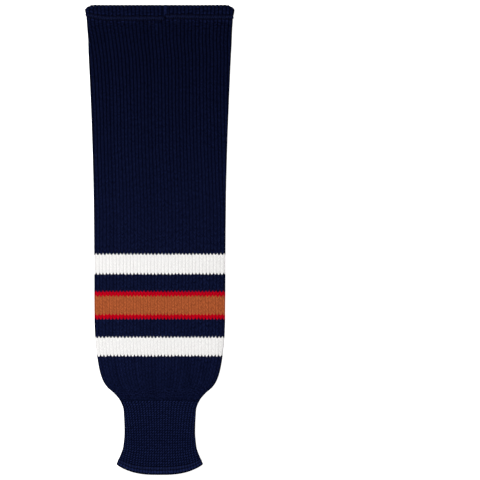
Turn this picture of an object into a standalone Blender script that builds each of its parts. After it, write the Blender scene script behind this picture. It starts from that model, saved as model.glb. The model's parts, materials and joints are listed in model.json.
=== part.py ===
"""A hockey sock laid flat: one footless knitted leg tube, from its turned top hem to its turned ankle hem.

The tube is knitted in one length on one machine. The knitter changes only the yarn colour for the
stripes and the stitch for the shaped calf and the ribbed ankle, and each such stretch is one node here.
The sock lies pressed flat on its back, so each round of knitting is a long, low stadium: a flat
underside, a top face close above it, and a tight fold at either side.

Frame: +Y runs from the ankle to the top hem, +X across, +Z up. The origin is in the middle of the
sock's length and width, on the surface that it lies on. All sizes are in metres.
"""
import math

import bmesh
import bpy

# ---- The cloth
LENGTH = 0.7112             # a 28 inch sock, measured along its middle
WALL = 0.0015               # the knitted wall
HEM_GAP = 0.0003            # between a hem's outer layer and its turned layer
TUBE_GAP = 0.0004           # between the front and the back of the flattened tube
SEAM_GAP = 0.0003           # between one stretch and the next

# ---- Distances down from the top edge, along the middle, where one stretch ends and the next starts
TOP_HEM_END = 0.0265
WHITE_UPPER = (0.3775, 0.4072)
RED_UPPER = (0.4340, 0.4408)
COPPER_END = 0.4686
RED_LOWER_END = 0.4752
WHITE_LOWER = (0.5032, 0.5311)
ANKLE_START = 0.5989
BOTTOM_HEM_START = 0.6957

# ---- The flat cut: half the width at some distances down from the top edge
CUT = (
    (0.0000, 0.1133),       # top edge, at the fold of the hem
    (0.0140, 0.1121),
    (0.0240, 0.1105),
    (0.0700, 0.1082),
    (0.1450, 0.1046),
    (0.2660, 0.1007),
    (0.3560, 0.0995),
    (0.4700, 0.0990),       # end of the long straight leg
    (0.5022, 0.0980),
    (0.5310, 0.0951),       # the calf starts to run in
    (0.5530, 0.0913),
    (0.5680, 0.0865),
    (0.5790, 0.0795),
    (0.5880, 0.0690),       # steepest, where the rib begins to pull
    (0.5980, 0.0598),
    (0.6120, 0.0549),
    (0.6440, 0.0535),       # narrowest, round the ankle
    (0.6740, 0.0554),
    (0.6850, 0.0579),
    (0.6990, 0.0621),       # the ankle hem flares
    (0.7112, 0.0657),
)

# ---- How the rounds of knitting bend where the sock ends
CORNER_DROP = 0.0065        # the top edge falls by this at either side
CORNER_START = 0.88         # from this share of the half width outwards
CORNER_DEPTH = 0.014        # and the rounds are straight again this far down
BOW_RISE = 0.0158           # the bottom edge is bowed: its corners are this much higher than its middle
BOW_START = 0.640           # the rounds begin to bow here
BOW_POWER = 2.8             # how square the bow is across the sock
BOW_GROWTH = 1.6            # how late it grows along the sock
THICKNESS_RUN = 0.030       # a hem's extra thickness dies out over this length

# ---- Where the points of one round are
FLAT_SHARES = (-1.0, -0.88, -0.6, -0.3, 0.0, 0.3, 0.6, 0.88, 1.0)
FOLD_SPANS = 4              # straight spans round each side fold
HEM_FOLD_SPANS = 4          # and round the fold of a hem

HEM_LAYERS = 2 * WALL + HEM_GAP
LEG_THICKNESS = 2 * WALL + TUBE_GAP
HEM_THICKNESS = 2 * HEM_LAYERS + TUBE_GAP


def srgb(red, green, blue):
    """A display colour, 0 to 255, as the linear numbers that a shader takes."""
    def linear(level):
        level /= 255
        return level / 12.92 if level <= 0.04045 else ((level + 0.055) / 1.055) ** 2.4

    return (linear(red), linear(green), linear(blue), 1.0)


YARNS = {
    "navy_knit": srgb(12, 17, 40),
    "white_knit": srgb(240, 239, 238),
    "red_knit": srgb(176, 1, 26),
    "copper_knit": srgb(165, 85, 46),
}


def clear_scene():
    for item in list(bpy.data.objects):
        bpy.data.objects.remove(item, do_unlink=True)


def yarn_material(name):
    """Matt wool-like yarn in one dyed colour."""
    material = bpy.data.materials.new(name)
    material.use_nodes = True
    material.diffuse_color = YARNS[name]
    shader = material.node_tree.nodes["Principled BSDF"]
    shader.inputs["Base Color"].default_value = YARNS[name]
    shader.inputs["Roughness"].default_value = 0.9
    shader.inputs["Metallic"].default_value = 0.0
    return material


# ---- The form of the flattened tube
def smooth_step(value):
    value = min(1.0, max(0.0, value))
    return value * value * (3 - 2 * value)


def cut_slopes():
    """A slope at each point of the cut that never overshoots, from the slopes on its two sides."""
    runs = [(b[1] - a[1]) / (b[0] - a[0]) for a, b in zip(CUT, CUT[1:])]
    slopes = [runs[0]]
    for before, after in zip(runs, runs[1:]):
        same_way = before * after > 0
        slopes.append(2 * before * after / (before + after) if same_way else 0.0)
    return slopes + [runs[-1]]


SLOPES = cut_slopes()


def half_width(down):
    """Half the sock's width and its slope at a distance down from the top edge."""
    down = min(max(down, CUT[0][0]), CUT[-1][0])
    i = max(k for k in range(len(CUT) - 1) if CUT[k][0] <= down)
    (d0, w0), (d1, w1) = CUT[i], CUT[i + 1]
    run = d1 - d0
    t = (down - d0) / run
    width = (
        (2 * t**3 - 3 * t**2 + 1) * w0
        + (t**3 - 2 * t**2 + t) * run * SLOPES[i]
        + (3 * t**2 - 2 * t**3) * w1
        + (t**3 - t**2) * run * SLOPES[i + 1]
    )
    slope = (
        (6 * t**2 - 6 * t) * (w0 - w1) / run
        + (3 * t**2 - 4 * t + 1) * SLOPES[i]
        + (3 * t**2 - 2 * t) * SLOPES[i + 1]
    )
    return width, slope


def thickness(down):
    """The whole sock's thickness: two walls on the leg, four where a hem is turned in."""
    from_top = (down - TOP_HEM_END) / THICKNESS_RUN
    from_hem = (BOTTOM_HEM_START - down) / THICKNESS_RUN
    share = max(1 - smooth_step(from_top), 1 - smooth_step(from_hem))
    return LEG_THICKNESS + share * (HEM_THICKNESS - LEG_THICKNESS)


def along(down, share):
    """The Y of a round of knitting, at a share of the half width out from the middle."""
    corner = max(0.0, (abs(share) - CORNER_START) / (1 - CORNER_START)) ** 2
    corner *= CORNER_DROP * max(0.0, 1 - down / CORNER_DEPTH)
    bow = max(0.0, (down - BOW_START) / (LENGTH - BOW_START)) ** BOW_GROWTH
    bow *= BOW_RISE * abs(share) ** BOW_POWER
    return LENGTH / 2 - down - corner + bow


def round_plan():
    """The points of one round as (flat, bulge, lift): over the top, round a fold, back underneath."""
    folds = [math.pi * k / FOLD_SPANS for k in range(1, FOLD_SPANS)]
    top = [(flat, 0.0, 1.0) for flat in reversed(FLAT_SHARES)]
    left = [(-1.0, -math.sin(a), math.cos(a)) for a in folds]
    underside = [(flat, 0.0, -1.0) for flat in FLAT_SHARES]
    right = [(1.0, math.sin(a), -math.cos(a)) for a in folds]
    return top + left + underside + right


ROUND = round_plan()


def round_point(down, depth, number):
    """One point of the round that is so far down the sock and so deep inside its outer face."""
    flat, bulge, lift = ROUND[number]
    width, slope = half_width(down)
    middle = thickness(down) / 2
    fold = middle - depth
    reach = width - depth * math.hypot(1, slope) - fold
    x = flat * reach + bulge * fold
    return (x, along(down, x / width), middle + lift * fold)


# ---- Making a stretch of the tube
def knitted_tube(name, profile, material):
    """A closed wall: one round of points is extruded along a closed profile of (down, depth)."""
    mesh = bpy.data.meshes.new(name)
    bm = bmesh.new()
    number = bm.verts.layers.int.new("number")
    first = bmesh.ops.create_circle(bm, segments=len(ROUND), radius=1.0, cap_ends=False)
    for k, vert in enumerate(first["verts"]):
        vert[number] = k
        vert.co = round_point(*profile[0], k)
    edges = list(bm.edges)
    for station in profile[1:] + profile[:1]:
        grown = bmesh.ops.extrude_edge_only(bm, edges=edges)["geom"]
        for vert in (item for item in grown if isinstance(item, bmesh.types.BMVert)):
            vert.co = round_point(*station, vert[number])
        verts = {item for item in grown if isinstance(item, bmesh.types.BMVert)}
        edges = [
            item for item in grown
            if isinstance(item, bmesh.types.BMEdge) and verts.issuperset(item.verts)
        ]
    bmesh.ops.remove_doubles(bm, verts=bm.verts, dist=1e-6)
    bmesh.ops.triangulate(bm, faces=bm.faces)
    bmesh.ops.recalc_face_normals(bm, faces=bm.faces)
    bm.to_mesh(mesh)
    bm.free()
    mesh.materials.append(material)
    mesh.shade_smooth()
    mesh.set_sharp_from_angle(angle=math.radians(40))
    tube = bpy.data.objects.new(name, mesh)
    bpy.context.collection.objects.link(tube)
    return tube


def spaced(start, end, step):
    """Evenly spaced distances from start to end, about a step apart."""
    spans = max(1, round(abs(end - start) / step))
    return [start + (end - start) * k / spans for k in range(spans + 1)]


def plain_stretch(name, start, end, step, material):
    """A stretch of single knitting, half a seam gap short at either end."""
    rows = spaced(start + SEAM_GAP / 2, end - SEAM_GAP / 2, step)
    outside = [(down, 0.0) for down in rows]
    inside = [(down, WALL) for down in reversed(rows)]
    return knitted_tube(name, outside + inside, material)


def turned_hem(name, edge, end, step, material):
    """A hem folded to the inside at the sock's edge, so that it has an outer and a turned layer."""
    way = 1 if end > edge else -1
    radius = HEM_LAYERS / 2
    crease = HEM_GAP / 2
    outer_end = end - way * SEAM_GAP / 2
    turned_end = end - way * 4 * SEAM_GAP
    fold = edge + way * radius
    turns = [math.pi * k / HEM_FOLD_SPANS for k in range(1, HEM_FOLD_SPANS)]

    outside = [(down, 0.0) for down in spaced(outer_end, fold, step)]
    around = [(fold - way * radius * math.sin(a), radius * (1 - math.cos(a))) for a in turns]
    inside = [(down, HEM_LAYERS) for down in spaced(fold, turned_end, step)]
    between_turned = [(down, WALL + HEM_GAP) for down in spaced(turned_end, fold, step)]
    in_the_crease = [(fold - way * crease, radius)]
    between_outer = [(down, WALL) for down in spaced(fold, outer_end, step)]
    profile = outside + around + inside + between_turned + in_the_crease + between_outer
    return knitted_tube(name, profile, material)


def main():
    clear_scene()
    yarns = {name: yarn_material(name) for name in YARNS}
    navy, white = yarns["navy_knit"], yarns["white_knit"]
    red, copper = yarns["red_knit"], yarns["copper_knit"]

    turned_hem("top_welt", 0.0, TOP_HEM_END, 0.005, navy)
    plain_stretch("leg_upper", TOP_HEM_END, WHITE_UPPER[0], 0.027, navy)
    plain_stretch("stripe_white_upper", *WHITE_UPPER, 0.016, white)
    plain_stretch("leg_band_upper", WHITE_UPPER[1], RED_UPPER[0], 0.016, navy)
    plain_stretch("stripe_red_upper", *RED_UPPER, 0.016, red)
    plain_stretch("stripe_copper", RED_UPPER[1], COPPER_END, 0.016, copper)
    plain_stretch("stripe_red_lower", COPPER_END, RED_LOWER_END, 0.016, red)
    plain_stretch("leg_band_lower", RED_LOWER_END, WHITE_LOWER[0], 0.016, navy)
    plain_stretch("stripe_white_lower", *WHITE_LOWER, 0.010, white)
    plain_stretch("calf", WHITE_LOWER[1], ANKLE_START, 0.0055, navy)
    plain_stretch("ankle_rib", ANKLE_START, BOTTOM_HEM_START, 0.008, navy)
    turned_hem("bottom_hem", LENGTH, BOTTOM_HEM_START, 0.005, navy)


main()
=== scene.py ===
# %% [markdown]
# # A knitted hockey sock, laid flat
# A hockey sock is a footless tube of thick ribbed knitting that is pulled on over a shin pad. This
# lesson dresses the plain CAD walls of one sock with real ribs, stitches, threads and yarn.
# Each stretch of knitting could be one flat sheet, but a tube seen from its ends shows its wall, so
# each one is made the way a knitter makes it: a flat blank, wrapped round, and sewn down the back.

# %% Load the frame
import json
import math
from dataclasses import dataclass
from functools import partial

import bmesh
import bpy
import numpy as np
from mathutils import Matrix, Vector


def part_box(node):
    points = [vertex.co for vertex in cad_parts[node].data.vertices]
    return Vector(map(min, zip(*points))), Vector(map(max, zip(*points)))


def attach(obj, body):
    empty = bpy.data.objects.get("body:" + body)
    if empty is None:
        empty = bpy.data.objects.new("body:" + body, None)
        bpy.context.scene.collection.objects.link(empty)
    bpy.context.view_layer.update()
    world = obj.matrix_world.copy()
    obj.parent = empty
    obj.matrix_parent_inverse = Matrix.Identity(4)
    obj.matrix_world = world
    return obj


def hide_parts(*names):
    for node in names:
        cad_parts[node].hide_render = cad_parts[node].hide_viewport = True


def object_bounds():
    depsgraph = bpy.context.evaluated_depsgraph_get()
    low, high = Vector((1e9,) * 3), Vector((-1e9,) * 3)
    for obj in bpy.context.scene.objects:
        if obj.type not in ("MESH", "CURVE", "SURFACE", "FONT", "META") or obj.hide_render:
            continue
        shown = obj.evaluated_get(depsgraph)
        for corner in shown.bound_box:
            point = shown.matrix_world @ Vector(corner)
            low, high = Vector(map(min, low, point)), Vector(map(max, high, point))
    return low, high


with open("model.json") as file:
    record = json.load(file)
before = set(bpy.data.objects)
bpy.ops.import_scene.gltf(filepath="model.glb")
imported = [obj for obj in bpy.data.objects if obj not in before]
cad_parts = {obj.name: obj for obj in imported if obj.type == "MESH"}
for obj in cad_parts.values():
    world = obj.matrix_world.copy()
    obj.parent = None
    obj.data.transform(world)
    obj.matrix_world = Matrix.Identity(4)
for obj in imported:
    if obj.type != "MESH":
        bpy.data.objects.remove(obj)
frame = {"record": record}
cad_low, cad_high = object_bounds()
scene = bpy.context.scene
TAU = 2 * math.pi

TOP = cad_high.y
LENGTH = cad_high.y - cad_low.y
print(f"the sock is {LENGTH * 1000:.0f} mm long and {(cad_high.x - cad_low.x) * 1000:.0f} mm wide")

# %% [markdown]
# ## The camera
# The sock lies on a table and is looked at from straight above. A long lens keeps the far ends from
# shrinking. The square frame leaves room on the right, where the sock's partner would lie.

# %% Camera
LENS = 100.0  # millimetres, on a 36 mm sensor
SENSOR = 36.0
VIEW_SIDE = 1.0217 * LENGTH
VIEW_MIDDLE = Vector((0.1215, -0.0003, cad_high.z / 2))

camera_data = bpy.data.cameras.new("camera")
camera_data.lens = LENS
camera_data.sensor_width = SENSOR
camera = bpy.data.objects.new("camera", camera_data)
scene.collection.objects.link(camera)
camera.location = VIEW_MIDDLE + Vector((0, 0, VIEW_SIDE * LENS / SENSOR))
scene.camera = camera
print(f"the camera looks down from {camera.location.z:.2f} m")

# %% [markdown]
# ## The table and the light
# Dark yarn shows its ribs only if the light can sink into the gaps between them. So most of the
# light comes evenly from all round, and one very large lamp from the upper left gives the ribs and the
# stitches a lit side. The colours are shown as they are, with no film curve.

# %% Table and light
TABLE_SIDE = 24.0
TABLE_DROP = 0.0004  # the table top is just below the sock, so the two don't flicker
TABLE_GLOW = 0.80  # a lit table top keeps the sock's own shadow pale
SKY_STRENGTH = 0.48
LAMP_SIZE = 1.1
LAMP_PLACE = Vector((-1.0, 0.9, 1.5))
LAMP_POWER = 37.0
WHITE = (1.0, 1.0, 1.0, 1.0)


def set_inputs(node, values):
    """Gives a node's inputs their fixed values, by name."""
    for label, value in values.items():
        node.inputs[label].default_value = value


def new_material(name, values):
    """A material, its node tree, and its shader with those fixed values."""
    material = bpy.data.materials.new(name)
    material.use_nodes = True
    shader = material.node_tree.nodes["Principled BSDF"]
    set_inputs(shader, values)
    return material, material.node_tree, shader


bm = bmesh.new()
bmesh.ops.create_grid(bm, x_segments=1, y_segments=1, size=TABLE_SIDE / 2)
bmesh.ops.translate(bm, verts=bm.verts, vec=(0, 0, -TABLE_DROP))
table_mesh = bpy.data.meshes.new("table")
bm.to_mesh(table_mesh)
bm.free()
table_white, *_ = new_material("table_white", {
    "Base Color": (0.93, 0.93, 0.93, 1.0), "Roughness": 0.9, "Specular IOR Level": 0.0,
    "Emission Color": WHITE, "Emission Strength": TABLE_GLOW,
})
table_mesh.materials.append(table_white)
table = bpy.data.objects.new("table", table_mesh)
scene.collection.objects.link(table)

world = bpy.data.worlds.new("studio")
world.use_nodes = True
set_inputs(world.node_tree.nodes["Background"], {"Color": WHITE, "Strength": SKY_STRENGTH})
scene.world = world

lamp_data = bpy.data.lights.new("lamp", "AREA")
lamp_data.size = LAMP_SIZE
lamp_data.energy = LAMP_POWER
lamp = bpy.data.objects.new("lamp", lamp_data)
scene.collection.objects.link(lamp)
lamp.location = LAMP_PLACE
lamp.rotation_euler = (-LAMP_PLACE).to_track_quat("-Z", "Y").to_euler()
scene.view_settings.view_transform = "Standard"
print("a white table, an even sky and one large lamp")

# %% [markdown]
# ## Where each stretch starts and ends
# The places come from the CAD nodes. Every place along the sock is given as the distance down from the
# top edge, along its middle. A node's lowest point is the middle of its last round of knitting, also
# where the rounds are bowed, so that point gives the level where one stretch hands over to the next.

# %% Levels
STRETCHES = (
    "top_welt", "leg_upper", "stripe_white_upper", "leg_band_upper", "stripe_red_upper",
    "stripe_copper", "stripe_red_lower", "leg_band_lower", "stripe_white_lower", "calf",
    "ankle_rib", "bottom_hem",
)
HALF_SEAM = 0.00015  # half the gap that the CAD walls keep to each other

starts, ends = {}, {}
level = 0.0
for stretch in STRETCHES:
    starts[stretch] = level
    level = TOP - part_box(stretch)[0].y + HALF_SEAM
    ends[stretch] = level
ends["bottom_hem"] = LENGTH
for stretch in STRETCHES:
    print(f"{stretch}: {starts[stretch] * 1000:.1f} to {ends[stretch] * 1000:.1f} mm from the top")

# %% [markdown]
# ## The cut
# Half the sock's width is written down where its outline changes, as on a knitter's chart, and a smooth
# curve that never overshoots runs through these points.

# %% Half the width
CUT = np.array((
    (0.0000, 0.1133),  # top edge
    (0.0140, 0.1121),
    (0.0240, 0.1105),
    (0.0700, 0.1082),
    (0.1450, 0.1046),
    (0.2660, 0.1007),
    (0.3560, 0.0995),
    (0.4700, 0.0990),  # end of the long straight leg
    (0.5022, 0.0980),
    (0.5310, 0.0951),  # the calf starts to run in
    (0.5530, 0.0913),
    (0.5680, 0.0865),
    (0.5790, 0.0795),
    (0.5880, 0.0690),  # steepest
    (0.5980, 0.0598),
    (0.6120, 0.0549),
    (0.6440, 0.0535),  # narrowest, round the ankle
    (0.6740, 0.0554),
    (0.6850, 0.0579),
    (0.6990, 0.0621),  # the ankle hem flares
    (0.7112, 0.0657),
))
runs = np.diff(CUT[:, 1]) / np.diff(CUT[:, 0])
inner = np.where(runs[:-1] * runs[1:] > 0, 2 * runs[:-1] * runs[1:] / (runs[:-1] + runs[1:]), 0.0)
CUT_SLOPES = np.concatenate((runs[:1], inner, runs[-1:]))


def half_width(down):
    """Half the sock's width, and its slope, at distances down from the top edge."""
    down = np.clip(down, CUT[0, 0], CUT[-1, 0])
    i = np.clip(np.searchsorted(CUT[:, 0], down, side="right") - 1, 0, len(CUT) - 2)
    run = CUT[i + 1, 0] - CUT[i, 0]
    t = (down - CUT[i, 0]) / run
    w0, w1, s0, s1 = CUT[i, 1], CUT[i + 1, 1], CUT_SLOPES[i], CUT_SLOPES[i + 1]
    width = (
        (2 * t**3 - 3 * t**2 + 1) * w0 + (t**3 - 2 * t**2 + t) * run * s0
        + (3 * t**2 - 2 * t**3) * w1 + (t**3 - t**2) * run * s1
    )
    slope = (6 * t**2 - 6 * t) * (w0 - w1) / run + (3 * t**2 - 4 * t + 1) * s0 + (3 * t**2 - 2 * t) * s1
    return width, slope


print(f"half the width is {half_width(0.010)[0] * 1000:.1f} mm near the top")

# %% [markdown]
# ## Thickness and the bend of the rounds
# On the leg the sock is two walls thick. A hem is folded in, so it is four walls thick, and that extra
# thickness dies out over a few centimetres. The rounds of knitting run straight across the leg. At the
# top corners they dip, and towards the ankle hem they bow more and more, because the hem is stretched.

# %% Thickness and rounds
WALL = 0.0015
HEM_GAP = 0.0003
TUBE_GAP = 0.0004
HEM_LAYERS = 2 * WALL + HEM_GAP
LEG_THICKNESS = 2 * WALL + TUBE_GAP
HEM_THICKNESS = 2 * HEM_LAYERS + TUBE_GAP
THICKNESS_RUN = 0.030
CORNER_DROP = 0.0065
CORNER_START = 0.88
CORNER_DEPTH = 0.014
BOW_START = 0.640
BOW_RISE = 0.0158
BOW_POWER = 2.8
BOW_GROWTH = 1.6
NECK_DIP = 0.0018  # the first rounds of the ankle sag towards the folds
NECK = (0.585, 0.670, 0.015, 0.025)  # from, to, and how softly it starts and ends


def smooth_step(value):
    """Rises from 0 to 1 while value does, with no kink at either end."""
    value = np.clip(value, 0.0, 1.0)
    return value * value * (3 - 2 * value)


def between(value, start, end, rise, fall):
    """1 from start to end and 0 beyond them, with a soft step at each end."""
    return smooth_step((value - start) / rise) * smooth_step((end - value) / fall)


def chart(table, level, column=1):
    """What a table says at a level, when its first column is the distance down."""
    return np.interp(level, table[:, 0], table[:, column])


def thickness(down):
    from_top = (down - ends["top_welt"]) / THICKNESS_RUN
    from_hem = (starts["bottom_hem"] - down) / THICKNESS_RUN
    share = np.maximum(1 - smooth_step(from_top), 1 - smooth_step(from_hem))
    return LEG_THICKNESS + share * (HEM_THICKNESS - LEG_THICKNESS)


def round_y(down, share):
    """The Y of a round of knitting, at a share of the half width out from the middle."""
    share = np.abs(share)
    sag = NECK_DIP * between(down, *NECK) * share**1.5
    corner = np.maximum(0.0, (share - CORNER_START) / (1 - CORNER_START)) ** 2
    corner = corner * CORNER_DROP * np.maximum(0.0, 1 - down / CORNER_DEPTH)
    bow = np.maximum(0.0, (down - BOW_START) / (LENGTH - BOW_START)) ** BOW_GROWTH
    return TOP - down - corner - sag + BOW_RISE * bow * share**BOW_POWER


print(f"{LEG_THICKNESS * 1000:.1f} mm thick on the leg and {HEM_THICKNESS * 1000:.1f} mm at the hems")

# %% [markdown]
# ## Round the flattened tube
# A knitter counts in wales, the columns of stitches. A wale's number says where it is round the tube, and
# whole numbers are the gaps between ribs. The leg has eighty ribs. Its left fold keeps to one rib, so the
# ribs lean with the left edge, while at the right edge a few ribs roll over to the back as the leg gets
# narrower. The ankle has fewer columns, which roll over both folds where it flares.

# %% Wales
SEAM_DEPTH = 0.0009  # the back seam lies in a shallow groove
SEAM_HALF = 0.3  # of a wale


@dataclass
class Knit:
    """How one kind of knitting lies round the tube."""

    wales: int  # columns of stitches all round
    phases: np.ndarray  # where one wale has its lines of points
    seam: int  # the gap where the back seam is
    first_and_front: object  # gives the wale at the left fold, and how many are in front

    def columns(self):
        """The wale number of each line of points, from the back seam all round to it again."""
        number = np.arange(self.wales)[:, None] + self.phases[None, :]
        return self.seam + np.append(number.ravel(), self.wales)

    def from_seam(self, wale):
        """How many wales it is to the back seam, the short way."""
        return np.mod(wale - self.seam + self.wales / 2, self.wales) - self.wales / 2

    def wale_at(self, x, level):
        """The wale at a place on the front."""
        first, front = self.first_and_front(level)
        return first + (0.5 + x / (2 * half_width(level)[0])) * front

    def share(self, wale, level):
        """How far across the sock a wale is, from 0 at the left fold to 1, and if it is in front."""
        first, front = self.first_and_front(level)
        turn = np.mod(wale - first, self.wales)
        in_front = turn < front
        return np.where(in_front, turn / front, 1 - (turn - front) / (self.wales - front)), in_front


LEG_PHASES = np.array((0.0, 0.07, 0.18, 0.34, 0.5, 0.66, 0.82, 0.93))
LEG_FOLD = -0.584  # the left fold is in this part of a rib
LEG_IN_FRONT = 41.5  # how many of the leg's ribs are in front at the top edge
LEG_ROLLED = (3.3, 0.33)  # how many roll to the back, and how far down they all have
ANKLE_MIDDLE = 14.0  # the ankle's gap on the middle of its front
ANKLE_IN_FRONT = (28.0, 0.650, 54.0)  # how many at which level, and how many more a metre below


def leg_front(down):
    return LEG_FOLD + 0.0 * down, LEG_IN_FRONT - LEG_ROLLED[0] * smooth_step(down / LEG_ROLLED[1])


def ankle_front(down):
    front = ANKLE_IN_FRONT[0] + ANKLE_IN_FRONT[2] * (down - ANKLE_IN_FRONT[1])
    return ANKLE_MIDDLE - front / 2, front


LEG = Knit(80, LEG_PHASES, 59, leg_front)
ANKLE = Knit(56, np.arange(6) / 6, 42, ankle_front)


def front_x(wale, level):
    """The place across the leg's front, and far away for what is behind."""
    share, in_front = LEG.share(wale, level)
    return np.where(in_front, (2 * share - 1) * half_width(level)[0], 1.0)


print(f"{len(LEG.columns())} lines of points round the leg and {len(ANKLE.columns())} round the ankle")

# %% [markdown]
# ## Ribs that stray
# Ribs are never ruler straight. Below the top hem they fan out from the join, and lower down they drift
# to and fro by a fraction of a rib. The drift is given in ribs, at a few distances down: at the
# left fold, in the middle and at the right fold. Short waves are added to it.

# %% Drift
DRIFT = np.array((
    # down, left, middle, right
    (0.030, -1.10, -0.20, 0.42),
    (0.055, -0.55, -0.10, 0.30),
    (0.080, -0.10, 0.25, 0.35),
    (0.120, 0.10, 0.25, 0.05),
    (0.160, 0.25, 0.00, -0.05),
    (0.220, 0.10, -0.20, -0.25),
    (0.280, 0.20, -0.05, -0.30),
    (0.320, 0.35, 0.10, -0.05),
    (0.370, 0.25, 0.15, 0.10),
    (0.420, 0.20, 0.00, -0.10),
    (0.460, 0.10, -0.10, -0.45),
    (0.500, -0.20, -0.20, -0.25),
    (0.530, -0.35, 0.05, 0.15),
    (0.600, 0.00, 0.00, 0.00),
))


def drift(knit, wale, level):
    """How far a rib strays sideways, in wales."""
    turn = TAU * wale / knit.wales
    waves = 0.03 * np.sin(7 * turn - level / 0.017)
    waves = waves + 0.02 * np.sin(19 * turn + level / 0.011 + 1.7)
    if knit is not LEG:
        return waves
    share, in_front = knit.share(wale, level)
    left, middle, right = (chart(DRIFT, level, k) for k in (1, 2, 3))
    side = 2 * share - 1
    bend = (right - left) / 2 * side + ((right + left) / 2 - middle) * side * side
    return waves + middle + bend


print(f"the ribs stray by up to {abs(DRIFT[:, 1:]).max():.1f} of a rib")

# %% [markdown]
# ## The soft top of the sock
# Cloth never lies like glass. The front is lifted here and there by about a millimetre, and soft troughs
# run down the calf, where the knitting gathers towards the ankle. Each trough is listed: its
# middle, its start and end, its half width and its depth. A depth below zero is a low ridge.

# %% Lift and troughs
LIFT = 0.0011
FUZZ = 0.0002  # loose fibres make the folds this much wider
FOLD_RUN = 0.012  # the lift dies out this far from a fold
TROUGHS = (
    (0.0445, 0.532, 0.582, 0.0022, 0.0005),
    (0.0063, 0.576, 0.602, 0.0026, -0.0004),
    (0.0315, 0.560, 0.602, 0.0026, -0.0004),
    (0.0370, 0.532, 0.556, 0.0016, 0.0008),
    (0.0650, 0.538, 0.566, 0.0022, 0.0008),
    (0.0750, 0.532, 0.552, 0.0016, 0.0006),
    (-0.0390, 0.532, 0.550, 0.0018, 0.0006),
    (-0.0280, 0.534, 0.556, 0.0016, 0.0005),
    (-0.0600, 0.120, 0.260, 0.0140, 0.0006),
    (0.0520, 0.060, 0.210, 0.0160, 0.0006),
)


def trough(x, down):
    """How deep the troughs are at a place on the front."""
    depths = 0.0
    for middle, start, end, half, depth in TROUGHS:
        run = between(down, start, end, 0.008, 0.012)
        depths = depths + depth * run * np.exp(-(((x - middle) / half) ** 2))
    return depths


def front_lift(x, down):
    """How far the front face stands above its plain height."""
    wave = (
        np.sin(x * 31 + down * 9) * np.sin(down * 14 - 0.6)
        + 0.6 * np.sin(x * 58 - down * 21 + 1.1)
        + 0.4 * np.sin(x * 17 + down * 47)
    )
    return np.maximum(LIFT * (0.5 + 0.25 * wave) - trough(x, down), 0.0)


def tube_point(knit, wale, down, depth):
    """Points on the tube: a wale, a distance down from the top edge, a depth below the outer face."""
    share, in_front = knit.share(wale, down)
    width, slope = half_width(down)
    width = width + FUZZ
    middle = thickness(down) / 2
    side = math.pi * middle / 2
    flat = 2 * (width - middle)
    place = share * (2 * side + flat)
    left = np.clip(place / side, 0, 1)
    right = np.clip((2 * side + flat - place) / side, 0, 1)
    across = np.clip((place - side) / flat, 0, 1) * 2 - 1
    angle = np.minimum(left, right) * math.pi / 2

    fold = middle - depth
    reach = width - depth * np.hypot(1, slope) - fold
    x = across * reach + np.sign(across) * np.cos(angle) * fold
    face = np.where(in_front, 1.0, -1.0)
    z = middle + face * np.sin(angle) * fold
    edge = smooth_step((width - np.abs(x)) / FOLD_RUN)
    z = z + np.where(in_front, front_lift(x, down) * edge * np.sin(angle), 0.0)
    return np.stack((x, round_y(down, x / width), z), axis=-1)


print(f"{len(TROUGHS)} troughs and ridges, and a lift of up to {LIFT * 1000:.1f} mm")

# %% [markdown]
# ## Wrap a blank and sew it
# Every stretch starts as one flat grid from `bmesh.ops.create_grid`: its columns are the lines of points
# round the sock, and its rows follow a closed path, down the outside of the wall and up the inside.
# The points are moved to their places on the tube, and `remove_doubles` sews the back seam and closes
# the wall. Solidify could give the wall too, but it would push the inside through the fold at a hem.
#
# A row is (level, depth, push along, push inward, distance). The pushes say which way the relief of the
# knitting moves the row, and the distance says how far along the yarn path it is.

# %% Blank and sewing
SEW_DISTANCE = 2e-6
SHARP_ANGLE = math.radians(75)
COURSE = 0.0025  # the height of one round of stitches
RIM = 0.0018  # how far in from a fold the cloth turns away from the light
RIM_SHADE = 0.70
RIM_RELIEF = 0.05  # how much of the relief is left at a fold, where the cloth is pulled flat
INSIDE_TONE = 0.5


def new_piece(name, data):
    """An object that rides on the sock's one body."""
    piece = bpy.data.objects.new(name, data)
    scene.collection.objects.link(piece)
    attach(piece, "root")
    return piece


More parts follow.
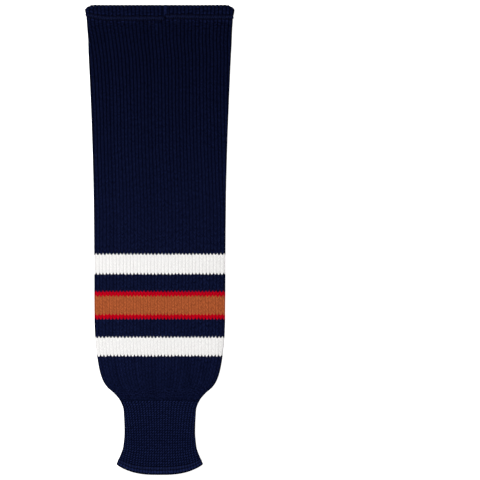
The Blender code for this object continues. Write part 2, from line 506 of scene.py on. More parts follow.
def knitted_mesh(name, knit, rows, relief, bend, tone, course):
    """One closed stretch of knitting.

    relief(wale, level) is how deep the surface sinks below its crests, bend(wale, level) how far a round
    of stitches dips, tone(wale, level) how light the yarn looks, with painted shade and painted
    highlights in it, and course(distance) counts rounds.
    """
    columns = knit.columns()
    rows = np.array(rows + rows[:1])
    bm = bmesh.new()
    bmesh.ops.create_grid(bm, x_segments=len(columns) - 1, y_segments=len(rows) - 1, size=1.0)
    mesh = bpy.data.meshes.new(name)
    bm.to_mesh(mesh)
    bm.free()

    flat = np.empty(len(mesh.vertices) * 3)
    mesh.vertices.foreach_get("co", flat)
    flat = flat.reshape(-1, 3)
    column = np.rint((flat[:, 0] + 1) / 2 * (len(columns) - 1)).astype(int)
    row = np.rint((1 - flat[:, 1]) / 2 * (len(rows) - 1)).astype(int)

    wale = columns[column]
    level, depth, push_along, push_in, distance = rows[row].T
    share, in_front = knit.share(wale, level)
    from_fold = smooth_step((1 - np.abs(2 * share - 1)) * half_width(level)[0] / (2 * RIM))
    seam = SEAM_DEPTH * np.exp(-((knit.from_seam(wale) / SEAM_HALF) ** 2))
    sunk = np.maximum(relief(wale, level), seam) * (RIM_RELIEF + (1 - RIM_RELIEF) * from_fold)
    down = level + bend(wale, level) + push_along * sunk
    place = tube_point(knit, wale + drift(knit, wale, level), down, depth + push_in * sunk)
    mesh.vertices.foreach_set("co", place.astype(np.float32).ravel())

    # painted shade: the yarn's tone is darkened close to each fold, where the cloth turns away from the
    # light
    rim = 1 - RIM_SHADE * (1 - smooth_step((half_width(down)[0] - np.abs(place[:, 0])) / RIM))
    outside = np.hypot(push_along, push_in) > 0.5
    shade = np.where(outside, tone(wale, level) * rim, INSIDE_TONE).astype(np.float32)
    mesh.attributes.new("tone", "FLOAT", "POINT").data.foreach_set("value", shade)
    uv = mesh.uv_layers.new(name="knit")
    corner = np.empty(len(mesh.loops), dtype=np.int32)
    mesh.loops.foreach_get("vertex_index", corner)
    stitch = np.stack((wale, course(distance)), axis=-1)[corner]
    uv.data.foreach_set("uv", stitch.astype(np.float32).ravel())

    bm = bmesh.new()
    bm.from_mesh(mesh)
    bmesh.ops.remove_doubles(bm, verts=bm.verts, dist=SEW_DISTANCE)
    bmesh.ops.recalc_face_normals(bm, faces=bm.faces)
    bm.to_mesh(mesh)
    bm.free()
    mesh.shade_smooth()
    mesh.set_sharp_from_angle(angle=SHARP_ANGLE)
    return mesh


print(f"one round of stitches is {COURSE * 1000:.1f} mm high")


# %% Rows of a blank
def spaced(start, end, step):
    spans = max(1, round(abs(end - start) / step))
    return [start + (end - start) * k / spans for k in range(spans + 1)]


def wall_rows(levels, inside_step=0.012):
    """The closed path of a single wall: down its outside, and up its inside in longer steps."""
    inside = spaced(levels[-1], levels[0], inside_step)
    return [(v, 0.0, 0.0, 1.0, v) for v in levels] + [(v, WALL, 0.0, 0.0, v) for v in inside]


def whole_courses(node):
    """Counts rounds so that a whole number of them fits into a stretch."""
    start, end = starts[node], ends[node]
    rounds = max(1, round((end - start) / COURSE))
    return lambda distance: (distance - start) / (end - start) * rounds


print(f"the path of a 30 mm stretch has {len(wall_rows(spaced(0.0, 0.030, 0.0034)))} rows")

# %% [markdown]
# ## Ribs and scalloped rounds
# A rib is wide and rounded, with a narrow gap beside it. The absolute value of a sine has just that
# shape: round on top, pointed at the bottom. A power below one widens its crest. The same curve bends
# each round of stitches, because the yarn hangs lower on a rib than in a gap. So where the colour
# changes, the upper colour ends in round scallops and the lower one rises in points between them.

# %% Rib relief
SCALLOP = 0.0032  # how far a round dips from a gap to a crest
LOOSENESS = np.random.default_rng(4).uniform(0.82, 1.18, LEG.wales)  # each rib hangs its own way
RIB_FLATNESS = 0.6
GAP_WIDTH = 0.9  # the power that sets how much of a rib's width is in shade
RIBS = np.array((
    # down, depth of the gaps, how much darker the painted shade makes the gaps
    (0.000, 0.00115, 1.00),
    (0.120, 0.00100, 1.00),
    (0.250, 0.00075, 0.86),
    (0.370, 0.00050, 0.75),
    (0.530, 0.00045, 0.73),
    (0.560, 0.00030, 0.68),
    (0.600, 0.00020, 0.60),
))


def crest(wale):
    """1 on the middle of a rib and 0 in the gap beside it."""
    return np.abs(np.sin(math.pi * wale))


def gap(wale):
    """1 in the gap between two ribs, falling quickly to 0 on a crest."""
    return 1 - crest(wale) ** GAP_WIDTH


def rib_relief(wale, level):
    """How deep the surface sinks beside a rib's crest."""
    return chart(RIBS, level) * (1 - crest(wale) ** RIB_FLATNESS)


def rib_shade(wale, level):
    """1 on a crest, and darker towards the gap, where shade is painted."""
    return 1 - chart(RIBS, level, 2) * gap(wale)


def scallop(wale, level):
    """Fades out at the hems and at the ankle, where other knitting takes over."""
    strength = between(level, 0.030, starts["ankle_rib"] - 0.004, 0.02, 0.03)
    hang = LOOSENESS[np.mod(np.floor(wale + 1e-6), LEG.wales).astype(int)]
    hang = 1 + (hang - 1) * (0.6 + 0.4 * np.sin(level * 300))
    return SCALLOP * strength * (hang * crest(wale) - 2 / math.pi)


print(f"the gaps between ribs are {RIBS[0, 1] * 1000:.2f} mm deep at the top")

# %% [markdown]
# ## Yarn materials
# The four yarns are the same wool-like fibre in four colours, so they share two node groups. `Stitch`
# draws the two slanted legs of each knitted loop from the UV map, where one unit is one wale across and
# one round down. `Fibre` gives the mottle of spun yarn. Both stay sharp at any distance.

# %% Node helpers
def new_group(name, inputs, outputs):
    """A node group. An input with a default is a number, and one without is a vector."""
    group = bpy.data.node_groups.new(name, "ShaderNodeTree")
    for label, default in inputs.items():
        kind = "NodeSocketVector" if default is None else "NodeSocketFloat"
        socket = group.interface.new_socket(label, in_out="INPUT", socket_type=kind)
        if default is not None:
            socket.default_value = default
    for label in outputs:
        group.interface.new_socket(label, in_out="OUTPUT", socket_type="NodeSocketFloat")
    return group, group.nodes.new("NodeGroupInput"), group.nodes.new("NodeGroupOutput")


def math_node(tree, operation, *values):
    """A Math node whose inputs are numbers or other nodes' outputs. It returns its output."""
    node = tree.nodes.new("ShaderNodeMath")
    node.operation = operation
    for socket, value in zip(node.inputs, values):
        if isinstance(value, (int, float)):
            socket.default_value = value
        else:
            tree.links.new(value, socket)
    return node.outputs[0]


# %% The stitch group
PLUMPNESS = 0.3  # the power that rounds a strand: the lower, the flatter its top
PARTING_WIDTH = 6.0  # the parting of a loop's two legs fades out over one sixth of a wale
YARN_RUN = 1.6  # how many lengths of yarn, each with its own shade, one round takes

stitch_group, stitch_in, stitch_out = new_group(
    "Stitch", {"Knit UV": None, "V Slant": 0.25, "Lean": 0.0, "Parting": 0.5, "Spread": 0.5},
    ("Height", "Shade"),
)
stitch_math = partial(math_node, stitch_group)
split = stitch_group.nodes.new("ShaderNodeSeparateXYZ")
stitch_group.links.new(stitch_in.outputs["Knit UV"], split.inputs[0])
across = stitch_math("SUBTRACT", stitch_math("FRACT", split.outputs["X"]), 0.5)
outward = stitch_math("ABSOLUTE", across)
legs = stitch_math("MULTIPLY_ADD", outward, stitch_in.outputs["V Slant"], split.outputs["Y"])
slanted = stitch_math("MULTIPLY_ADD", across, stitch_in.outputs["Lean"], legs)
strand = stitch_math("ABSOLUTE", stitch_math("SINE", stitch_math("MULTIPLY", slanted, math.pi)))
plump = stitch_math("POWER", strand, PLUMPNESS)
aside = stitch_math("MINIMUM", stitch_math("MULTIPLY", outward, PARTING_WIDTH), 1.0)
in_parting = stitch_math("MULTIPLY", stitch_math("SUBTRACT", 1.0, aside), stitch_in.outputs["Parting"])
height = stitch_math("MULTIPLY", plump, stitch_math("SUBTRACT", 1.0, in_parting))
stitch_group.links.new(height, stitch_out.inputs["Height"])


def loop_chance(lengths_down):
    """A random number for each short length of yarn, or for the one that many lengths further down."""
    half_wale = stitch_math("MULTIPLY", split.outputs["X"], 2.0)
    below = stitch_math("MULTIPLY_ADD", slanted, YARN_RUN, lengths_down)
    cell = stitch_group.nodes.new("ShaderNodeCombineXYZ")
    stitch_group.links.new(stitch_math("FLOOR", half_wale), cell.inputs["X"])
    stitch_group.links.new(stitch_math("FLOOR", below), cell.inputs["Y"])
    noise = stitch_group.nodes.new("ShaderNodeTexWhiteNoise")
    noise.noise_dimensions = "2D"
    stitch_group.links.new(cell.outputs[0], noise.inputs["Vector"])
    return noise.outputs["Value"]


# A loop that took more yarn took it from the next one, so what counts is the difference of the two.
uneven = stitch_math("SUBTRACT", loop_chance(0.0), loop_chance(1.0))
own_shade = stitch_math("MULTIPLY_ADD", uneven, stitch_in.outputs["Spread"], 1.0)
# painted shade: the yarn is darkened where a strand sinks, between the rounds and in the parting of a
# loop's legs
relief_shade = stitch_math("MULTIPLY_ADD", height, 0.80, 0.42)
stitch_group.links.new(stitch_math("MULTIPLY", relief_shade, own_shade), stitch_out.inputs["Shade"])
print("each loop has two slanted legs, and its own slight shade")

# %% The fibre group
fibre_group, fibre_in, fibre_out = new_group(
    "Fibre", {"Fineness": 1500.0, "Mottle": 0.6}, ("Shade", "Height", "Roughness"),
)
fibre_math = partial(math_node, fibre_group)
fibre_place = fibre_group.nodes.new("ShaderNodeTexCoord")


def fibre_noise(settings):
    noise = fibre_group.nodes.new("ShaderNodeTexNoise")
    set_inputs(noise, settings)
    fibre_group.links.new(fibre_place.outputs["Object"], noise.inputs["Vector"])
    return noise


fuzz = fibre_noise({"Detail": 4.0, "Roughness": 0.7})
fibre_group.links.new(fibre_in.outputs["Fineness"], fuzz.inputs["Scale"])
bloom = fibre_noise({"Scale": 55.0, "Detail": 2.0})
mix = fibre_math("MULTIPLY_ADD", bloom.outputs[0], 0.12, fuzz.outputs[0])
centred = fibre_math("SUBTRACT", mix, 0.56)
for label, result in (
    ("Shade", fibre_math("MULTIPLY_ADD", centred, fibre_in.outputs["Mottle"], 1.0)),
    ("Height", fuzz.outputs[0]),
    ("Roughness", fibre_math("MULTIPLY_ADD", fuzz.outputs[0], 0.2, 0.78)),
):
    fibre_group.links.new(result, fibre_out.inputs[label])
print("spun yarn is mottled, and never evenly rough")


# %% A yarn material
def linear(display):
    """The shader's colour for a screen's colour, which counts from 0 to 255."""
    parts = [value / 255 for value in display]
    return (*(v / 12.92 if v <= 0.04045 else ((v + 0.055) / 1.055) ** 2.4 for v in parts), 1.0)


def placed(tree, group, values):
    """A node group put into a material, with its own values."""
    node = tree.nodes.new("ShaderNodeGroup")
    node.node_tree = group
    set_inputs(node, values)
    return node


def colour_mix(tree, dark, light, share):
    node = tree.nodes.new("ShaderNodeMix")
    node.data_type = "RGBA"
    set_inputs(node, {"A": linear(dark), "B": linear(light)})
    tree.links.new(share, node.inputs["Factor"])
    return node


def bump(tree, height, distance, strength=1.0):
    node = tree.nodes.new("ShaderNodeBump")
    set_inputs(node, {"Distance": distance, "Strength": strength})
    tree.links.new(height, node.inputs["Height"])
    return node


def yarn(name, dark, light, spread, mottle, parting=0.6, v_slant=0.25, lean=0.0):
    """Matt yarn between two display colours, with its loops as shade and bump."""
    material, tree, shader = new_material(name, {"Specular IOR Level": 0.008})
    knit_uv = tree.nodes.new("ShaderNodeUVMap")
    knit_uv.uv_map = "knit"
    stitch = placed(tree, stitch_group, {
        "V Slant": v_slant, "Lean": lean, "Parting": parting, "Spread": spread,
    })
    tree.links.new(knit_uv.outputs[0], stitch.inputs["Knit UV"])
    fibre = placed(tree, fibre_group, {"Mottle": mottle})

    tone = tree.nodes.new("ShaderNodeAttribute")
    tone.attribute_name = "tone"
    level = math_node(tree, "MULTIPLY", tone.outputs["Fac"], math_node(
        tree, "MULTIPLY", stitch.outputs["Shade"], fibre.outputs["Shade"]))
    ramp = colour_mix(tree, dark, light, level)
    ramp.clamp_factor = False
    tree.links.new(ramp.outputs["Result"], shader.inputs["Base Color"])
    tree.links.new(fibre.outputs["Roughness"], shader.inputs["Roughness"])

    loops = bump(tree, stitch.outputs["Height"], 0.0005, 0.8)
    fuzz_bump = bump(tree, fibre.outputs["Height"], 0.0003, 0.6)
    tree.links.new(loops.outputs[0], fuzz_bump.inputs["Normal"])
    tree.links.new(fuzz_bump.outputs[0], shader.inputs["Normal"])
    return material


print("a yarn material mixes a dark and a light colour by the loops' shade")


# %% The four yarns
NAVY_DARK, NAVY_LIGHT = (0, 0, 4), (27, 36, 77)
YARNS = {
    "navy_knit": yarn("navy_yarn", NAVY_DARK, NAVY_LIGHT, 1.1, 1.8, parting=0.7),
    "white_knit": yarn("white_yarn", (172, 168, 170), (253, 252, 250), 0.25, 0.5, parting=0.4),
    "red_knit": yarn("red_yarn", (112, 0, 12), (204, 1, 30), 0.6, 1.0, parting=0.8),
    "copper_knit": yarn("copper_yarn", (100, 46, 26), (191, 99, 55), 0.75, 1.4, parting=1.0),
}
CALF_YARN = yarn("navy_calf_yarn", NAVY_DARK, NAVY_LIGHT, 0.8, 2.0, parting=0.8, v_slant=0.08)
TUCK_YARN = yarn("navy_tuck_yarn", NAVY_DARK, NAVY_LIGHT, 0.5, 1.6, parting=0.0, v_slant=0.0, lean=0.45)
print("yarns:", ", ".join(YARNS))

# %% [markdown]
# ## Finishing a piece
# Each finished piece gets its yarn and hides the plain CAD wall that it stands for. The red stripes are
# only two rounds high, but each is still a piece of its own. Too little to count as a sheet of their
# own, so they go with the copper stripe between them.

# %% Finish
SLOTS = {row["node"]: row["material_slot"] for row in frame["record"]["subparts"]}


def stretch_piece(node, knit, rows, relief, bend, tone, course, material=None):
    """One stretch of the sock, knitted and finished."""
    mesh = knitted_mesh(node + "_knit", knit, rows, relief, bend, tone, course)
    mesh.materials.append(material or YARNS[SLOTS[node]])
    piece = new_piece(mesh.name, mesh)
    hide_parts(node)
    return piece


# %% [markdown]
# ## Sewing thread
# A thread could be a mesh tube, but a curve with a round bevel needs only its middle line. The line is
# worked out in the yarn's own coordinates, wale and level, so it follows the ribs and the folds like
# the cloth that it's sewn through.

# %% Threads
def thread_material(name, colour, fineness, mottle):
    """A smooth twisted thread, a little shinier than the yarn."""
    material, tree, shader = new_material(name, {"Specular IOR Level": 0.06})
    fibre = placed(tree, fibre_group, {"Fineness": fineness, "Mottle": mottle})
    tint = colour_mix(tree, (0, 0, 0), colour, fibre.outputs["Shade"])
    tree.links.new(tint.outputs["Result"], shader.inputs["Base Color"])
    tree.links.new(fibre.outputs["Roughness"], shader.inputs["Roughness"])
    tree.links.new(bump(tree, fibre.outputs["Height"], 0.0001).outputs[0], shader.inputs["Normal"])
    return material


THREAD = 0.00034  # the radius of the sewing thread
TABLE_CLEAR = 0.00003  # how far it stays above the table
LOOPER_REACH = 0.17  # the looper turns this share of the way short of each needle row
NEEDLE_THREAD = thread_material("needle_thread", (10, 12, 34), 2600.0, 1.2)
LOOPER_THREAD = thread_material("looper_thread", (21, 28, 60), 900.0, 2.4)


def on_cloth(knit, relief, bend, wale, level, above):
    """Points a little above the knitted surface."""
    depth = relief(wale, level) - above
    return tube_point(knit, wale + drift(knit, wale, level), level + bend(wale, level), depth)


def thread(name, points, material=NEEDLE_THREAD):
    """A thread through the points. Under the sock, the table presses it into the cloth."""
    points[:, 2] = np.maximum(points[:, 2], THREAD + TABLE_CLEAR)
    curve = bpy.data.curves.new(name, "CURVE")
    curve.dimensions = "3D"
    curve.bevel_depth = THREAD
    curve.bevel_resolution = 1
    curve.use_fill_caps = True
    spline = curve.splines.new("POLY")
    spline.points.add(len(points) - 1)
    spline.points.foreach_set("co", np.column_stack((points, np.ones(len(points)))).ravel())
    curve.materials.append(material)
    new_piece(name, curve)


def cover_stitch(name, knit, relief, bend, lines, first, last, pitch):
    """Two rows of needle stitches, and the looper thread that zigzags between them.

    lines is a pair of functions that give each row's level at a wale, and pitch is one stitch in wales.
    """
    stitches = int((last - first) / pitch)
    step = np.arange(stitches * 6 + 1) / 6
    wale = first + step * pitch
    for side, line in zip(("upper", "lower"), lines):
        above = THREAD * (1.2 * np.abs(np.sin(math.pi * step)) - 1.0)
        thread(f"{name}_{side}", on_cloth(knit, relief, bend, wale, line(wale), above))
    swing = LOOPER_REACH + (1 - 2 * LOOPER_REACH) * (0.5 - 0.5 * np.cos(TAU * step))
    level = lines[0](wale) * (1 - swing) + lines[1](wale) * swing
    points = on_cloth(knit, relief, bend, wale, level, 0.7 * THREAD)
    thread(f"{name}_looper", points, LOOPER_THREAD)
    print(f"{name}: {stitches} stitches, {pitch:.2f} wales apart")


# %% [markdown]
# ## The leg and its stripes
# The leg is one length of knitting in which only the yarn changes, so one loop makes all its stretches.
# They share the round where they meet, and the scalloped rounds give the stripes their toothed edges.
# Hardly any light gets into the gaps between ribs, so shade is painted there: the yarn's colour is darker
# in the gaps.

# %% How light the leg's yarn looks
LEG_TONES = np.array((
    # down, share of the way to the light colour
    (0.000, 0.26),
    (0.080, 0.27),
    (0.250, 0.35),
    (0.370, 0.41),
    (0.430, 0.45),
    (0.530, 0.48),
    (0.560, 0.44),
    (0.600, 0.37),
))
RIB_TINTS = np.random.default_rng(9).normal(0.0, 0.05, 2 * LEG.wales)  # no two ribs are quite alike


def leg_tone(wale, level):
    """Darker near the top of the leg, with painted shade in the gaps between ribs; on the calf its ribs
    differ most.
    """
    tint = RIB_TINTS[np.mod(np.floor(2 * wale + 1e-6), 2 * LEG.wales).astype(int)]
    tint = 1 + tint * (1 + smooth_step((level - 0.50) / 0.05))
    return chart(LEG_TONES, level) * rib_shade(wale, level) * tint


def stripe_tone(gap_shade):
    """How light a stripe's yarn looks, with painted shade that makes its gaps that much darker."""
    return lambda wale, level: (0.83 + 0.5 * (level - 0.38)) * (1 - gap_shade * gap(wale))


STRIPE_TONES = {
    "white_knit": stripe_tone(0.26),
    "red_knit": stripe_tone(0.60),
    "copper_knit": stripe_tone(0.62),
    "navy_knit": leg_tone,
}
print(f"the {len(RIB_TINTS)} half ribs differ by up to {100 * abs(RIB_TINTS).max():.0f}%")


# %% Marks below the top hem
RAISED_RIB = (-0.0046, 0.0262, 0.0400, 0.0004)  # x, from, to, height
RAISED_HIGHLIGHT = 1125.0  # painted highlight: how much lighter the raised rib is painted, for each metre of its height
DIMPLES = ((-0.0051, 0.0602), (-0.0086, 0.0637), (-0.0121, 0.0673), (-0.0156, 0.0707))
DIMPLE_DEPTH = 0.0006
DIMPLE_HALF = 0.0013
MARKS_END = 0.076


def dimple(wale, level):
    """Needle pricks in a slanting row, where something was once sewn on."""
    x = front_x(wale, level)
    return sum(
        np.exp(-((x - place) ** 2 + (level - down) ** 2) / DIMPLE_HALF**2) for place, down in DIMPLES
    )


def raised(wale, level):
    """How far one loose rib stands up below the stitching."""
    place, start, end, height = RAISED_RIB
    across = smooth_step((0.0030 - np.abs(front_x(wale, level) - place)) / 0.001)
    return height * across * between(level, start, end, 0.002, 0.004)


def leg_relief(wale, level):
    return rib_relief(wale, level) + DIMPLE_DEPTH * dimple(wale, level) - raised(wale, level)


def upper_tone(wale, level):
    # painted shade darkens the needle pricks, and a painted highlight lightens the raised rib
    marks = (1 - 0.5 * dimple(wale, level)) * (1 + RAISED_HIGHLIGHT * raised(wale, level))
    return leg_tone(wale, level) * marks


def upper_rows():
    """Rows close together where the marks are, and wider apart below them."""
    levels = spaced(starts["leg_upper"], MARKS_END, 0.0012)
    return wall_rows(levels + spaced(MARKS_END, ends["leg_upper"], 0.0052)[1:], 0.016)


print(f"{len(DIMPLES)} needle pricks and one loose rib lie above {MARKS_END * 1000:.0f} mm")


# %% The leg and its stripes
for node in STRETCHES[1:9]:
    if node == "leg_upper":
        rows, relief, tone = upper_rows(), leg_relief, upper_tone
    else:
        rows = wall_rows(spaced(starts[node], ends[node], 0.0034))
        relief, tone = rib_relief, STRIPE_TONES[SLOTS[node]]
    stretch_piece(node, LEG, rows, relief, scallop, tone, whole_courses(node))

# %% [markdown]
# ## The calf
# Below the last stripe the machine changes to a flatter stitch and the sock runs in to the ankle. The
# ribs nearly vanish. At its end the cloth dips into the pull of the ankle rib.

# %% Calf
CALF_DIP = 0.0007
CALF_DIP_RUN = 0.0035
TROUGH_SHADE = 450.0  # painted shade: how much darker a trough is painted, and a ridge painted lighter, for each metre of its depth


def last_round(level):
    """Rises to 1 where the calf meets the ankle."""
    return 1 - smooth_step((ends["calf"] - level) / CALF_DIP_RUN)


def calf_relief(wale, level):
    return rib_relief(wale, level) + CALF_DIP * last_round(level)


def calf_tone(wale, level):
    """Painted shade darkens the troughs and the last round before the ankle, and painted light brightens
    the low ridges.
    """
    shaded = 1 - TROUGH_SHADE * trough(front_x(wale, level), level)
    return leg_tone(wale, level) * (1 - 0.15 * last_round(level)) * shaded


calf = stretch_piece(
    "calf", LEG, wall_rows(spaced(starts["calf"], ends["calf"], 0.0025)),
    calf_relief, scallop, calf_tone, whole_courses("calf"), CALF_YARN,
)

# %% [markdown]
# ## The ankle rib
# The ankle grips the leg with a tuck stitch, which stands up in columns of small slanted beads. They
# are large enough to see, so they are real relief: a bead is a rounded hill whose top leans to the right.
# Above the change line the stitches are tight, and below it they open out towards the hem.

# %% Ankle
BEAD_DEPTH = 0.00115
BEAD_LEAN = 0.45
TIGHT_COURSE = 0.00345
LOOSE_COURSE = 0.00390
CHANGE_LINE = 0.6397
BEAD_SHADE = 0.90  # painted shade: how much darker it is painted between the beads
ANKLE_LIGHT = 0.62


def bead_course(level):
    """How many rounds of beads a level is below the start of the ankle."""
    tight = np.minimum(level, CHANGE_LINE) - starts["ankle_rib"]
    loose = np.maximum(level - CHANGE_LINE, 0)
    return tight / TIGHT_COURSE + loose / LOOSE_COURSE


def bead(wale, level):
    """1 on top of a bead, and 0 between beads."""
    row = np.mod(bead_course(level), 1.0)
    lean = BEAD_LEAN * (0.5 - row)
    side = np.abs(np.sin(math.pi * (wale - lean)))
    parted = 0.36 + 0.14 * smooth_step((level - CHANGE_LINE) / 0.002)
    return side**1.1 * (1 - parted * (1 - np.sin(math.pi * row) ** 0.8))


def ankle_relief(wale, level):
    start_dip = 1 - smooth_step((level - starts["ankle_rib"]) / 0.0015)
    return np.maximum(BEAD_DEPTH * (1 - bead(wale, level)), CALF_DIP * start_dip)


def bead_shade(wale, level):
    """1 on top of a bead, and darker between beads, where shade is painted."""
    return 1 - BEAD_SHADE * (1 - bead(wale, level) ** 1.4)


def ankle_tone(wale, level):
    return ANKLE_LIGHT * bead_shade(wale, level)


def straight(wale, level):
    """The ankle's rounds don't dip from gap to crest."""
    return 0.0 * wale


def bead_rows(start, end):
    """Six rows of points for each round of beads, so that every bead has the same shape."""
    changes = np.linspace(start, end, 4000)
    courses = bead_course(changes)
    wanted = np.arange(math.ceil(courses[0] * 6), math.floor(courses[-1] * 6) + 1) / 6
    levels = sorted({start, end, *np.interp(wanted, courses, changes).tolist()})
    return wall_rows(levels, 0.010)


ankle = stretch_piece(
    "ankle_rib", ANKLE, bead_rows(starts["ankle_rib"], ends["ankle_rib"]),
    ankle_relief, straight, ankle_tone, bead_course, TUCK_YARN,
)

# %% [markdown]
# ## The hems
# A hem is the end of the tube turned to the inside. Its path runs down the outer layer, round the fold
# and back along the turned layer, and then returns between the two. Two rows of stitching hold it. They
# pull the cloth down into two grooves, with a band of thread between them.

# %% Hem path
HEM_SINK = 0.00125  # the deepest that relief may go and still leave a wall


def hem_rows(edge, end, step):
    """The closed path of a hem whose fold is at edge."""
    way = 1 if end > edge else -1
    radius = HEM_LAYERS / 2
    crease = HEM_GAP / 2
    fold = edge + way * radius
    turned_end = end - way * 0.0012

    path = [(level, 0.0, 0.0, 1.0) for level in spaced(end, fold, step)]
    for turn in range(1, 8):
        sine, cosine = math.sin(math.pi * turn / 8), math.cos(math.pi * turn / 8)
        path.append((fold - way * radius * sine, radius * (1 - cosine), way * sine, cosine))
    path += [(level, HEM_LAYERS, 0.0, -1.0) for level in spaced(fold, turned_end, 0.003)]
    path += [(level, WALL + HEM_GAP, 0.0, 0.0) for level in spaced(turned_end, fold, 0.006)]
    path += [(fold - way * crease, radius, 0.0, 0.0)]
    path += [(level, WALL, 0.0, 0.0) for level in spaced(fold, end, 0.006)]

    rows, distance = [], end
    for k, (level, depth, push_along, push_in) in enumerate(path):
        if k:
            distance -= way * math.dist(path[k - 1][:2], (level, depth))
        rows.append((level, depth, push_along, push_in, distance))
    return rows


def groove(level, middle, half=0.0011):
    return np.exp(-(((level - middle) / half) ** 2))


def grooves(level, band):
    """1 along both rows of a band of stitching, and 0 away from them."""
    return groove(level, band[0]) + groove(level, band[1])


print(f"a hem's path has {len(hem_rows(0.0, ends['top_welt'], 0.0008))} rows")

# %% [markdown]
# ### The top hem
# The stitching starts and ends near the middle of the side that faces up. The band arrives there a
# little lower than it left, beside a flat strip where the hem's own ends are joined. Near the left fold
# the band climbs towards the edge. Each rib bulges just before the stitching holds it down.

# %% Where the top stitching runs
TOP_BAND = (0.0178, 0.0239)  # the two rows of stitching, down from the edge
JOIN_X = 0.0094  # the join is just right of the middle
JOIN_HALF = 0.0030
KNOT = (0.0072, 0.0205)  # x and level


def top_band_shift(wale):
    """How far below its usual place the band of stitching runs, at a wale."""
    share, in_front = LEG.share(wale, TOP_BAND[0])
    join_share = 0.5 + JOIN_X / (2 * half_width(TOP_BAND[0])[0])
    left = -0.0060 * (1 - smooth_step(share / 0.17))
    right = -0.0026 + 0.0010 * smooth_step((share - join_share) / 0.4)
    behind = -0.0016 - 0.0044 * smooth_step(1 - share)
    return np.where(in_front, np.where(share < join_share, left, right), behind)


def join_strip(wale):
    """Where the flat strip of the join is, and the two grooves at its sides."""
    from_join = np.abs(front_x(wale, 0.010) - JOIN_X)
    strip = smooth_step((JOIN_HALF - from_join) / 0.0008 + 0.5)
    return strip, groove(from_join, JOIN_HALF, 0.0009)


def knot_shade(wale, level):
    """The run of stitching starts and ends in a small dark pucker."""
    return groove(front_x(wale, level), KNOT[0], 0.0014) * groove(level, KNOT[1], 0.0022)


def top_parts(wale, level):
    """The level in the band's own terms, and how much a place is in the band or above it."""
    down = level - top_band_shift(wale)
    above = 1 - smooth_step((down - TOP_BAND[0]) / 0.001)
    return down, between(down, *TOP_BAND, 0.001, 0.001), above


print(f"the stitching runs {TOP_BAND[0] * 1000:.1f} and {TOP_BAND[1] * 1000:.1f} mm below the edge")


# %% Top hem
GROOVE_DEPTH = 0.0007
BULGE = 0.0003
TOP_LIGHT = 0.29
STRIP_LIGHT = 0.09  # how much lighter the join is
# painted highlight on each rib crest where it bulges beside the stitching
BULGE_HIGHLIGHT = 0.18


def top_relief(wale, level):
    down, band, above = top_parts(wale, level)
    strip, sides = join_strip(wale)
    bulges = groove(down, TOP_BAND[0] - 0.0026, 0.0016) + groove(down, TOP_BAND[1] + 0.0024, 0.0014)
    ribs = rib_relief(wale, level) * (1 - 0.3 * band) * (1 - 0.9 * strip * above)
    sewn = GROOVE_DEPTH * grooves(down, TOP_BAND) + 0.0008 * sides * above
    return np.minimum(ribs + sewn - BULGE * bulges * crest(wale), HEM_SINK)


def top_tone(wale, level):
    down, band, above = top_parts(wale, level)
    strip, sides = join_strip(wale)
    # painted shade in the gaps between ribs, weaker in the band and on the flat strip
    gaps = 0.95 * gap(wale) * (1 - 0.1 * band) * (1 - 0.9 * strip * above)
    # where the painted highlight sits, on the crests just above and below the stitching
    bulges = groove(down, TOP_BAND[0] - 0.0028, 0.0014) + groove(down, TOP_BAND[1] + 0.0026, 0.0012)
    # painted shade along the folded top edge
    edge = 1 - 0.9 * (1 - smooth_step(level / 0.0032))
    plain = TOP_LIGHT + STRIP_LIGHT * strip * above + BULGE_HIGHLIGHT * bulges * crest(wale) ** 2
    # painted shade in the grooves beside the join, and the dark pucker at the knot
    seam_shade = (1 - 0.8 * sides * above) * (1 - 0.8 * knot_shade(wale, level))
    # painted shade in the two grooves of stitching
    return plain * (1 - gaps) * (1 - 0.75 * grooves(down, TOP_BAND)) * seam_shade * edge


top_welt = stretch_piece(
    "top_welt", LEG, hem_rows(0.0, ends["top_welt"], 0.0008),
    top_relief, scallop, top_tone, lambda distance: distance / COURSE,
)

# %% [markdown]
# ### The top stitching
# A cover-stitch machine sews with two needles above the cloth and a looper below it. Its run starts just
# right of the join, goes once round, and ends left of the join. A few more stitches fasten the end, and
# a thread end hangs down.

# %% Top stitching
TOP_PITCH = 0.62  # wales
TAIL_X = 0.0252
TAIL_END = 0.0300
FASTENING_X = (-0.0187, -0.0075)
FASTENING_LEVEL = 0.0290


def band_line(usual):
    return lambda wale: usual + top_band_shift(wale)


join_wale = float(LEG.wale_at(JOIN_X, 0.0))
cover_stitch(
    "top_stitches", LEG, top_relief, scallop, [band_line(line) for line in TOP_BAND],
    join_wale + 0.25, join_wale + LEG.wales - 0.25, TOP_PITCH,
)

# four stitches fasten the end
wale = np.linspace(*(float(LEG.wale_at(x, 0.027)) for x in FASTENING_X), 25)
level = np.full(25, FASTENING_LEVEL)
above = THREAD * (1.8 * np.abs(np.sin(np.linspace(0, 4 * math.pi, 25))) - 0.9)
thread("top_fastening", on_cloth(LEG, leg_relief, scallop, wale, level, above))

# the thread's loose end
level = np.linspace(TOP_BAND[1] - 0.002, TAIL_END, 12)
wale = float(LEG.wale_at(TAIL_X, 0.026)) + 0.12 * np.sin(np.linspace(0, 3.0, 12))
above = THREAD * (0.4 + np.sin(np.linspace(0, math.pi, 12)))
thread("top_tail", on_cloth(LEG, leg_relief, scallop, wale, level, above))

# %% [markdown]
# ### The ankle hem
# The ankle hem is narrower and stretched, so its two rows of stitching run close to the bowed edge. The
# columns of the rib carry on under them as short upright ridges.

# %% Ankle hem
BOTTOM_BAND = (LENGTH - 0.0125, LENGTH - 0.0072)
HEM_BEAD_LIGHT = 0.68
HEM_RIDGE_LIGHT = 0.92
ANKLE_PITCH = 0.8  # wales


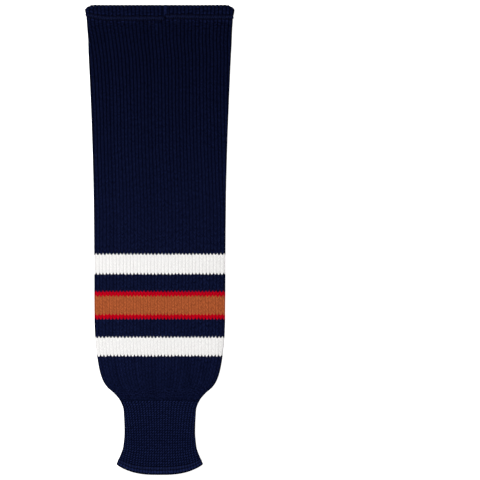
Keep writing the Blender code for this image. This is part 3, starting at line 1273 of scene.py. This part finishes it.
def hem_share(level):
    return smooth_step((level - BOTTOM_BAND[0] + 0.001) / 0.002)


def bottom_relief(wale, level):
    beads = BEAD_DEPTH * (1 - bead(wale, level))
    ridges = 0.0008 * (1 - crest(wale) ** 0.7) * smooth_step((LENGTH - level) / 0.003)
    in_hem = hem_share(level)
    sewn = GROOVE_DEPTH * grooves(level, BOTTOM_BAND)
    return np.minimum(beads * (1 - in_hem) + ridges * in_hem + sewn, HEM_SINK)


def bottom_tone(wale, level):
    in_hem = hem_share(level)
    beads = HEM_BEAD_LIGHT * bead_shade(wale, level)
    # painted shade between the upright ridges
    ridges = HEM_RIDGE_LIGHT * (1 - 0.65 * (1 - crest(wale)))
    # painted shade along the folded bottom edge
    edge = 0.2 + 0.8 * smooth_step((LENGTH - level - 0.0023) / 0.0018)
    # painted shade in the two grooves of stitching
    return (beads * (1 - in_hem) + ridges * in_hem) * (1 - 0.85 * grooves(level, BOTTOM_BAND)) * edge


bottom_hem = stretch_piece(
    "bottom_hem", ANKLE, hem_rows(LENGTH, starts["bottom_hem"], 0.0008),
    bottom_relief, straight, bottom_tone, bead_course, TUCK_YARN,
)

cover_stitch(
    "ankle_stitches", ANKLE, bottom_relief, straight,
    [lambda wale, level=level: level + 0.0 * wale for level in BOTTOM_BAND],
    ANKLE.seam, ANKLE.seam + ANKLE.wales, ANKLE_PITCH,
)

# %% [markdown]
# ## The back seam
# Each stretch is closed down the side that lies on the table. A whipped thread crosses the seam to and
# fro, sunk into its groove so that the sock still lies flat.

# %% Back seam
WHIP_PITCH = 0.0042


def whipped(name, knit, start, end):
    stitches = int((end - start) / WHIP_PITCH)
    step = np.arange(stitches * 4 + 1) / 4
    level = start + step * WHIP_PITCH
    wale = knit.seam + 0.22 * np.sin(TAU * step)
    depth = SEAM_DEPTH + 0.2 * THREAD
    thread(name, tube_point(knit, wale + drift(knit, wale, level), level, depth))
    print(f"{name}: {stitches} stitches")


whipped("back_seam_leg", LEG, 0.004, ends["calf"] - 0.002)
whipped("back_seam_ankle", ANKLE, starts["ankle_rib"] + 0.002, LENGTH - 0.003)
